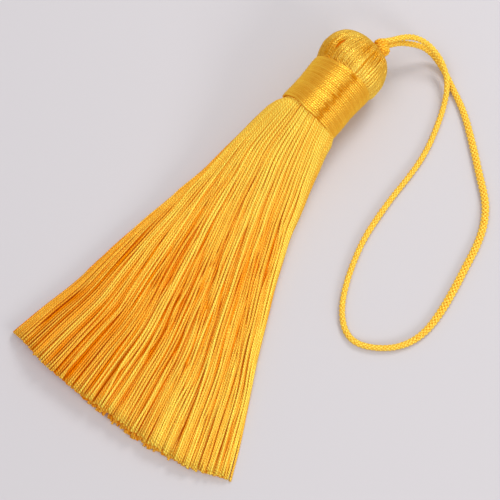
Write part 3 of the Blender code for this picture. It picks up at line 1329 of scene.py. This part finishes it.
@dataclass
class Head:
    """Round head: threads laid over a core from the dimple to the binding."""

    neck: NeckAxis
    pitch_deg: float = 2.85
    points: int = 48
    fullness: float = 1.46
    widest: float = 8.24
    full_radius: float = 8.2
    slant_deg: float = 12.0
    lean_deg: float = 16.0
    lean_at_deg: float = -38.0
    lean_half_deg: float = 38.0
    ridged_deg: Stops = (2.0, 18.0, 78.0, 98.0)
    ridged_to: tuple[float, float] = (4.5, 7.5)
    calm_from: tuple[float, float] = (6.0, 10.0)
    dimple_from: tuple[float, float] = (9.0, 14.0)
    slope_step: float = 0.05
    core_rows: int = 40
    core_sink: float = 0.45
    seed: int = 5
    rings: tuple[Row, ...] = (
        # place, height, radius, shift, slope
        (0.0, 10.60, 6.60, 0.30, 0.00), (1.0, 11.60, 7.20, 0.35, 0.00),
        (2.0, 12.60, 7.80, 0.36, 0.00), (3.4, 14.00, 8.12, 0.22, 0.00),
        (4.9, 15.50, 8.24, 0.07, 0.00), (6.3, 16.80, 8.04, 0.00, 0.00),
        (7.8, 18.26, 7.66, -0.08, 0.00), (9.2, 19.48, 7.02, -0.12, 0.00),
        (10.3, 20.42, 6.28, -0.20, 0.00), (11.4, 21.05, 5.42, -0.12, -0.01),
        (12.6, 21.45, 4.36, 0.15, -0.03), (13.7, 21.50, 3.44, 0.68, -0.09),
        (14.8, 21.08, 2.62, 1.30, -0.18), (16.0, 20.40, 1.70, 1.92, -0.20),
        (17.1, 19.55, 1.00, 2.20, -0.10),
    )
    slits: tuple[Slit, ...] = (Slit(-32.0, 2.8, 7.4, 3.6), Slit(-38.5, 4.2, 8.4, 1.6))
    # Painted shade on patches of the head.
    shadings: tuple[Row, ...] = (
        # angle_deg, place, half_angle_deg, half_place, depth
        (20.0, 7.6, 30.0, 3.0, 0.86), (50.0, 9.4, 24.0, 2.8, 0.50), (-48.0, 2.6, 36.0, 4.6, 1.00),
        (-6.0, 1.2, 18.0, 1.6, 0.42), (78.0, 5.0, 18.0, 6.0, 0.20), (-27.5, 5.0, 3.0, 1.4, 0.90),
        (-31.0, 6.3, 2.4, 1.4, 0.50), (-45.0, 9.5, 18.0, 3.0, 0.25),
    )

    def surface(self, places: Array, angle: Array, sink: Array | float) -> Array:
        """Points of the head's surface in the neck's frame.

        Args:
            places: Places along the table of rings.
            angle: Angles about the axis.
            sink: How far below the surface, in millimetres.

        Returns:
            The points, in millimetres.
        """
        height, radius, shift, slope = soft_rows(self.rings, places).T
        after = soft_rows(self.rings, places + self.slope_step)
        change = after - soft_rows(self.rings, places - self.slope_step)
        rise, out = change[:, 0], change[:, 1]
        norm = np.maximum(np.hypot(rise, out), TINY)
        reach = radius - sink * rise / norm
        level = height + sink * out / norm
        across = reach * np.sin(angle)
        return np.stack((shift + across, level + slope * across, reach * np.cos(angle)), axis=1)

    def pressed(self, point: Vector) -> Vector:
        """Shift and tilt a point of the spun core as the head's rings are.

        Args:
            point: The point in the neck's frame, as it is spun.

        Returns:
            Its place in the model's frame, in millimetres.
        """
        place_at, height, radius, _, _ = np.array(self.rings).T
        top = int(np.argmax(radius))
        if point.y > height[top]:
            where = np.interp(-math.hypot(point.x, point.z), -radius[top:], place_at[top:])
        else:
            where = np.interp(point.y, height, place_at)
        shift, slope = soft_rows(self.rings, np.array([where]))[0, 2:]
        return self.neck.matrix @ Vector((point.x + shift, point.y + slope * point.x, point.z))

    def core(self, finish: bpy.types.Material) -> bpy.types.Object:
        """Spin the inner body that shows between the threads, deep orange as painted shade.

        Args:
            finish: Its finish.

        Returns:
            The core.
        """
        places = np.linspace(0.0, self.rings[-1][0], self.core_rows)
        profile = self.surface(places, np.zeros(self.core_rows), self.core_sink)[:, 1:]
        rows = [(profile[0, 0], 0.0), *map(tuple, profile), (profile[-1, 0], 0.0)]
        # Painted shade: the core shows a deep tone between the threads.
        body = SpunBody("head_core", Slot.HANK, depth=0.9, low=0.3, closed=False)
        return body.build(rows, self.pressed, finish)

    def shading(self, angle: Array, places: Array) -> Array:
        """Painted shade: depth of tone added where parts of the head are to look shaded.

        Args:
            angle: Angles about the axis along a thread.
            places: Places along the table of rings.

        Returns:
            The depth added to the thread's own.
        """
        total = np.zeros_like(places)
        for turn_deg, place_at, half_turn_deg, half_place, depth in self.shadings:
            off = wrapped(angle - math.radians(turn_deg)) / math.radians(half_turn_deg)
            total += depth * bump(0.0, 1.0, off) * bump(place_at, half_place, places)
        return total

    def build(
        self, finish: bpy.types.Material, core_finish: bpy.types.Material
    ) -> list[bpy.types.Object]:
        """Lay the head's threads over its core.

        Args:
            finish: The threads' finish.
            core_finish: The core's finish.

        Returns:
            The threads and the core.
        """
        rng = np.random.default_rng(self.seed)
        bundle = Bundle("head_threads", Slot.HANK)
        last = self.rings[-1][0]
        places = np.linspace(0.0, last, self.points)
        along = places / last
        thin = np.clip(soft_rows(self.rings, places)[:, 1] / self.full_radius, 0.0, 1.0) ** 0.8
        broad = 0.5 * math.radians(self.pitch_deg) * self.widest * self.fullness
        dimple = smooth_step(*self.dimple_from, places)
        calm = 1.0 - 0.75 * smooth_step(*self.calm_from, places)
        turn_deg = -180.0
        while turn_deg < 180.0 - 0.6 * self.pitch_deg:
            ridged = float(rise_and_fall(self.ridged_deg, turn_deg))
            ridged = ridged * (len(bundle.threads) % 2) * rng.uniform(0.35, 1.0)
            lean = self.lean_deg * math.exp(-((turn_deg - self.lean_at_deg) / self.lean_half_deg) ** 2)
            base_deg = turn_deg + rng.normal(0.0, 0.06) * self.pitch_deg
            slant = math.radians(self.slant_deg + lean) * smooth_step(1.0, last, places)
            drift = 0.009 * wander(rng, along, 7, 0.7) * smooth_step(0.0, 3.0, places)
            base = np.full_like(places, math.radians(base_deg)) + drift
            angle = base + sum(slit.parted(base, places) for slit in self.slits) + slant
            valley = ridged * (1.0 - smooth_step(*self.ridged_to, places))
            sink = broad + 0.12 * valley + rng.uniform(-0.05, 0.06) * calm
            sink = sink - 0.012 * wander(rng, along, 5, 1.0)
            points = self.neck.out(self.surface(places, angle, sink))
            points[:, 2] = np.maximum(points[:, 2], broad)
            # Painted shade: threads sunk deeper, the ridges' valleys, the dimple and the shaded patches
            # take a deeper tone.
            depth = sink - broad + 0.60 * valley + 0.45 * dimple + self.shading(angle, places)
            radius = broad * rng.uniform(0.94, 1.06) * thin
            bundle.add(points, radius, rng.uniform(0.26, 0.74), np.clip(depth, 0.0, 1.0))
            turn_deg += self.pitch_deg
        return [bundle.mesh(finish), self.core(core_finish)]


# Binding


@dataclass
class Binding:
    """Close turns of silk wound round the neck over a plain sleeve."""

    neck: NeckAxis
    turns: int = 28
    steps: int = 144
    radius: float = 0.30
    first_turn: float = 0.15
    turn_rise: float = 0.985
    # The painted dark band between the lamps' reflections lies here.
    band_deg: float = 24.4
    band_half_deg: float = 7.0
    sleeve_sink: float = 0.36
    sleeve_inner: float = 6.1
    seed: int = 3
    profile: tuple[Row, ...] = (
        # height, radius, shift
        (-1.10, 7.24, -0.10), (-0.30, 7.36, -0.09), (0.70, 7.44, -0.07), (2.60, 7.40, 0.04),
        (5.90, 7.32, 0.11), (9.20, 7.50, 0.20), (11.00, 7.58, 0.29), (11.75, 7.52, 0.34),
    )
    proud_turn: int = 26
    proud: float = 0.14
    proud_deg: Stops = (-30.0, -18.0, 48.0, 58.0)
    shaded_front_deg: Stops = (-58.0, -34.0, 60.0, 84.0)
    ends: tuple[Row, ...] = (
        # angle_deg, lower_rim, upper_rim
        (-180.0, 0.15, 11.75), (-75.0, 0.15, 11.75), (-45.0, 0.05, 11.80), (-30.0, -0.05, 11.85),
        (-15.0, -0.50, 11.95), (0.0, -0.88, 12.10), (20.0, -0.93, 12.15), (60.0, -0.98, 12.10),
        (90.0, -0.85, 11.90), (130.0, -0.30, 11.75), (180.0, 0.15, 11.75),
    )

    def stretched(self, share: Array, angle: Array) -> Array:
        """Height of a place from the lower rim at 0 to the upper at 1, neither quite square."""
        lower, upper = soft_rows(self.ends, np.degrees(wrapped(angle))).T
        return lower + share * (upper - lower)

    def build(self, finish: bpy.types.Material) -> list[bpy.types.Object]:
        """Wind the turns over the sleeve.

        Args:
            finish: The finish of both.

        Returns:
            The turns and the sleeve.
        """
        rng = np.random.default_rng(self.seed)
        knots = rng.normal(0.0, 0.016, self.turns + 1)
        bundle = Bundle("binding_turns", Slot.WOUND)
        share = np.linspace(0.0, 1.0, self.steps + 1)
        for index in range(self.turns):
            turn = index + share
            angle = TURN * turn + math.pi
            height = self.stretched((self.first_turn + self.turn_rise * turn) / self.turns, angle)
            height = height + np.interp(turn, np.arange(self.turns + 1), knots)
            radius, shift = soft_rows(self.profile, height).T
            ripple = 0.012 * wander(rng, turn - index, 9, 0.4) + rng.normal(0.0, 0.010)
            reach = radius - self.radius + np.sin(math.pi * (turn - index)) ** 0.5 * ripple
            if index == self.proud_turn:
                front = rise_and_fall(self.proud_deg, np.degrees(wrapped(angle)))
                reach = reach + self.proud * front
            local = np.stack((shift + reach * np.sin(angle), height, reach * np.cos(angle)), axis=1)
            line = self.neck.out(local)
            line[:, 2] = np.maximum(line[:, 2], self.radius)
            tint = 0.5 + 0.06 * (-1.0) ** index + rng.uniform(-0.30, 0.30)
            bundle.add(line, self.radius, tint, self.band(rng, angle, index))
        return [bundle.mesh(finish), self.sleeve(finish)]

    def band(self, rng: np.random.Generator, angle: Array, turn: int) -> Array:
        """Painted shade along one turn: a ragged dark band down the binding, where the lamps' reflections
        leave a gap, a deeper front with lighter rims, and deeper patches beside the highlight and the
        band.

        Args:
            rng: Seeded source of chance.
            angle: Angles about the axis along the turn.
            turn: The turn's number, from the lower rim.

        Returns:
            The depth along the turn.
        """
        drift = 0.6 * math.sin(0.55 * turn) + 1.2 * (-1.0) ** turn + rng.normal(0.0, 2.4)
        half = math.radians(self.band_half_deg * rng.uniform(0.65, 1.35))
        off = wrapped(angle - math.radians(self.band_deg + drift))
        from_top = np.degrees(wrapped(angle))
        # Painted shade: the front deeper than its lighter rims, and patches left of the highlight and
        # right of the band.
        plain = 0.28 * rise_and_fall(self.shaded_front_deg, from_top) + 0.20 * bump(-22.0, 13.0, from_top)
        plain = plain + rng.uniform(-0.10, 0.26) * bump(40.0, 12.0, from_top)
        return np.maximum(rng.uniform(0.65, 1.0) * np.exp(-(off / half) ** 4), plain)

    def pressed(self, point: Vector) -> Vector:
        """Shift and stretch a point of the spun sleeve as the turns are.

        Args:
            point: The point in the neck's frame, as it is spun.

        Returns:
            Its place in the model's frame, in millimetres.
        """
        heights, _, shifts = np.array(self.profile).T
        share = (point.y - heights[0]) / (heights[-1] - heights[0])
        angle = math.atan2(point.x, point.z)
        height = self.stretched(np.array([share]), np.array([angle]))[0]
        across = point.x + np.interp(point.y, heights, shifts)
        return self.neck.matrix @ Vector((across, height, point.z))

    def sleeve(self, finish: bpy.types.Material) -> bpy.types.Object:
        """Spin the sleeve that closes the gaps under the turns.

        Args:
            finish: Its finish.

        Returns:
            The sleeve.
        """
        rows = [(height, radius - self.sleeve_sink) for height, radius, _ in self.profile]
        rows = [(rows[0][0], self.sleeve_inner), *rows, (rows[-1][0], self.sleeve_inner)]
        # The sleeve shows between the turns in a deep tone, painted shade.
        body = SpunBody("binding_sleeve", Slot.WOUND, depth=0.7, low=0.1, closed=True)
        return body.build(rows, self.pressed, finish)


# Braided cord and its knot


@dataclass(frozen=True)
class Braid:
    """A round braid of strands laid both ways along a line.

    A strand swings in and out by the wave and makes one turn in a lay, and it
    shows a deeper tone, painted shade, where it swings in. The rows of lie tell
    how much wider the braid is pressed and how far to the side it lies at each
    place of its run.
    """

    strands: int = 8
    radius: float = 0.715
    strand: float = 0.255
    wave: float = 0.125
    lay: float = 3.8
    steps_per_lay: int = 24
    depth: float = 0.35
    depth_swing: float = 0.35
    lie: tuple[Row, ...] = ((0.0, 1.0, 0.0), (1.0, 1.0, 0.0))

    def along(self, bundle: Bundle, line: Array, rng: np.random.Generator) -> Array:
        """Lay the braid's strands along a line.

        Args:
            bundle: The piece that gets the strands.
            line: The line, in millimetres.
            rng: Seeded source of chance.

        Returns:
            The line, evenly spaced as the strands are.
        """
        length = float(step_lengths(line).sum())
        count = int(length / self.lay * self.steps_per_lay) + 2
        line, run = respace(line, count), np.linspace(0.0, length, count)
        level = np.cross(np.gradient(line, axis=0), (0.0, 0.0, 1.0))
        level /= np.maximum(np.linalg.norm(level, axis=1), TINY)[:, None]
        spread, aside = soft_rows(self.lie, run).T
        line = line + aside[:, None] * level
        side, over = moving_frames(line)
        turn = TURN * run / self.lay
        middle = self.radius - self.strand - self.wave
        each_way = self.strands // 2
        for sense in (1.0, -1.0):
            swing = sense * self.wave * np.cos(each_way * turn)
            # Painted shade: deeper where the strand swings in.
            depth = np.clip(self.depth - self.depth_swing * swing / self.wave, 0.0, 1.0)
            for index in range(each_way):
                angle = sense * turn + TURN / each_way * index
                points = line + ((middle + swing) * np.cos(angle))[:, None] * side
                points = points + ((middle + swing) * np.sin(angle))[:, None] * over
                sideways = ((points - line) * level).sum(axis=1)
                points = points + ((spread - 1.0) * sideways)[:, None] * level
                bundle.add(points, self.strand, rng.random(), depth)
        return line


@dataclass
class HangingCord:
    """The cord from the knot round its loop and back, and the knot itself."""

    braid: Braid = Braid(lie=(
        # run, spread, aside
        (0.0, 1.00, 0.00), (30.0, 1.00, 0.00), (50.0, 1.00, -0.12), (57.0, 1.12, -0.26),
        (66.0, 1.02, 0.00), (80.0, 1.00, 0.00), (86.0, 1.10, 0.15), (93.0, 1.00, 0.00),
        (101.0, 1.20, 0.08), (110.0, 1.52, 0.18), (116.0, 1.56, 0.00), (124.0, 1.50, -0.30),
        (140.0, 1.50, -0.38), (150.0, 1.44, -0.05), (165.0, 1.20, 0.00), (184.0, 1.00, 0.00),
    ))
    diameter: float = 1.35
    seed: int = 17
    points: int = 900
    route: tuple[Row, ...] = (
        # x, y, z
        (5.20, 51.65, 9.32), (6.62, 53.28, 9.20), (8.84, 55.34, 8.40), (11.75, 56.48, 6.80),
        (15.19, 56.25, 4.80), (18.32, 54.73, 3.10), (20.53, 52.19, 2.10), (22.08, 48.78, 1.10),
        (23.55, 43.18, 0.70), (24.57, 35.61, 0.68), (24.10, 26.45, 0.68), (23.48, 16.24, 0.68),
        (24.52, 7.19, 0.68), (26.95, -1.56, 0.68), (29.36, -5.78, 0.68), (33.59, -8.51, 0.68),
        (38.64, -7.46, 0.68), (42.77, -4.34, 0.68), (45.19, -0.26, 0.68), (46.19, 6.61, 0.68),
        (46.00, 18.08, 0.68), (44.90, 27.62, 0.68), (42.37, 33.41, 0.68), (37.46, 38.83, 0.68),
        (31.68, 44.66, 0.68), (26.03, 49.97, 0.68), (21.56, 53.12, 0.68), (17.73, 55.60, 0.90),
        (14.50, 56.69, 2.20), (11.49, 56.30, 4.30), (9.13, 54.84, 6.00), (7.30, 53.30, 7.20),
        (6.30, 52.15, 7.80),
    )
    out_of_knot: Row = (3.80, 50.50, 9.10)
    into_knot: Row = (5.20, 50.60, 8.40)
    # The knot's strands take a deeper tone, painted shade.
    knot_braid: Braid = Braid(radius=0.80, strand=0.285, depth=0.63)
    knot_centre: Row = (4.55, 48.95, 9.85)
    knot_axis: Row = (-0.74, 0.66, -0.10)
    knot_radius: float = 0.76
    knot_half: float = 1.65
    knot_turns: float = 3.5
    knot_start: float = 2.6
    knot_lead: tuple[Row, ...] = ((2.6, 46.9, 6.9), (3.3, 47.3, 7.4))
    knot_rows: int = 30
    knot_points: int = 260

    def knot_line(self) -> Array:
        """Line of the knot: out of the dimple, round itself, on to the cord.

        Returns:
            Its points, in millimetres.
        """
        centre, axis = np.array(self.knot_centre), np.array(self.knot_axis)
        axis /= np.linalg.norm(axis)
        side = np.cross(axis, (0.0, 0.0, 1.0))
        side /= np.linalg.norm(side)
        over = np.cross(side, axis)
        share = np.linspace(0.0, 1.0, self.knot_rows)
        angle = TURN * self.knot_turns * share + self.knot_start
        wrap = centre + np.outer(self.knot_half * (2.0 * share - 1.0), axis)
        wrap = wrap + self.knot_radius * (np.outer(np.cos(angle), side) + np.outer(np.sin(angle), over))
        return natural_cubic(np.concatenate((self.knot_lead, wrap)), self.knot_points)

    def build(self, finish: bpy.types.Material) -> list[bpy.types.Object]:
        """Args:
            finish: The finish of both.

        Returns:
            The cord and the knot.
        """
        rng = np.random.default_rng(self.seed)
        rows = np.array((self.out_of_knot, *self.route, self.into_knot))
        bundle, tied = Bundle("braided_cord", Slot.BRAID), Bundle("tied_knot", Slot.BRAID)
        line = self.braid.along(bundle, natural_cubic(rows, self.points), rng)
        self.knot_braid.along(tied, self.knot_line(), rng)
        cord, knot = bundle.mesh(finish), tied.mesh(finish)
        length = float(step_lengths(line).sum())
        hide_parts(Node.CORD.value)
        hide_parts(Node.KNOT.value)
        return [cord, knot]


def main() -> None:
    """Build the tassel, class by class, and report each piece."""
    logging.basicConfig(level=logging.INFO, format="%(message)s")
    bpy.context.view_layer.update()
    groups = SilkGroups()
    Studio().build()
    pieces = HangingCord().build(BRAID_SILK.build(groups))
    neck = NeckAxis()
    head = Head(neck).build(HEAD_SILK.build(groups), SHADED_CORE_SILK.build(groups))
    fringe = Fringe(neck).build(FRINGE_SILK.build(groups))
    binding = Binding(neck).build(WOUND_SILK.build(groups))
    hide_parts(Node.HANK.value)
    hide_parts(Node.BINDING.value)
    for piece in pieces + head + fringe + binding:
        faces = sum(len(face.vertices) - 2 for face in piece.data.polygons)
        LOG.info("%s: %d triangles", piece.name, faces)


if __name__ == "__main__":
    main()
